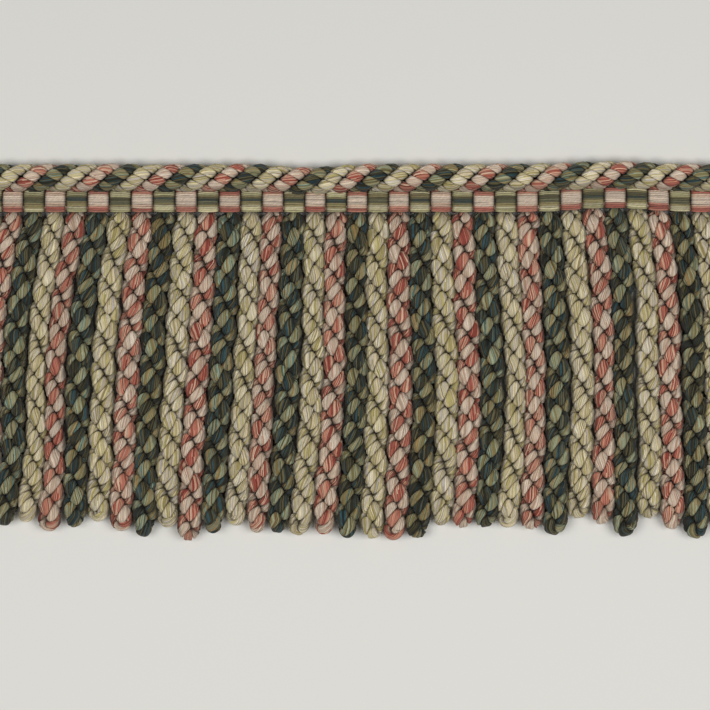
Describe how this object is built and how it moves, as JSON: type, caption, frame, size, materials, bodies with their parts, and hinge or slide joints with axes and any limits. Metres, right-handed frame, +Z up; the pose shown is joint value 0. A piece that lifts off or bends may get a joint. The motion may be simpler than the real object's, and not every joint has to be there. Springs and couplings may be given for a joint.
{
  "type": "cut length of bullion fringe",
  "caption": "Bullion fringe trim: twisted yarn strands hang side by side from a narrow woven heading, edged with a laid cord.",
  "frame": {"origin": "on the heading's flat back, half way along the trim", "axes": "+X along the trim, +Y from the skirt's tips to the lip cord, +Z up from the surface that the trim lies on"},
  "size_m": [0.2259, 0.1053, 0.0072],
  "materials": {
    "green_yarn": "dark green, olive and teal yarns plied with sage and gold ones, soft sheen",
    "cream_yarn": "cream yarns flecked with yellow green and lavender grey, soft sheen",
    "rose_yarn": "rose and red yarns plied with taupe beige ones, soft sheen",
    "heading_weave": "warp floats in cells of rose and beige, and of olive, teal and cream, in turn"
  },
  "bodies": {
    "root": {"heading": "heading_weave", "skirt_green": "green_yarn", "skirt_cream": "cream_yarn", "skirt_rose": "rose_yarn", "lip_cord_green": "green_yarn", "lip_cord_cream": "cream_yarn", "lip_cord_rose": "rose_yarn"}
  },
  "joints": []
}
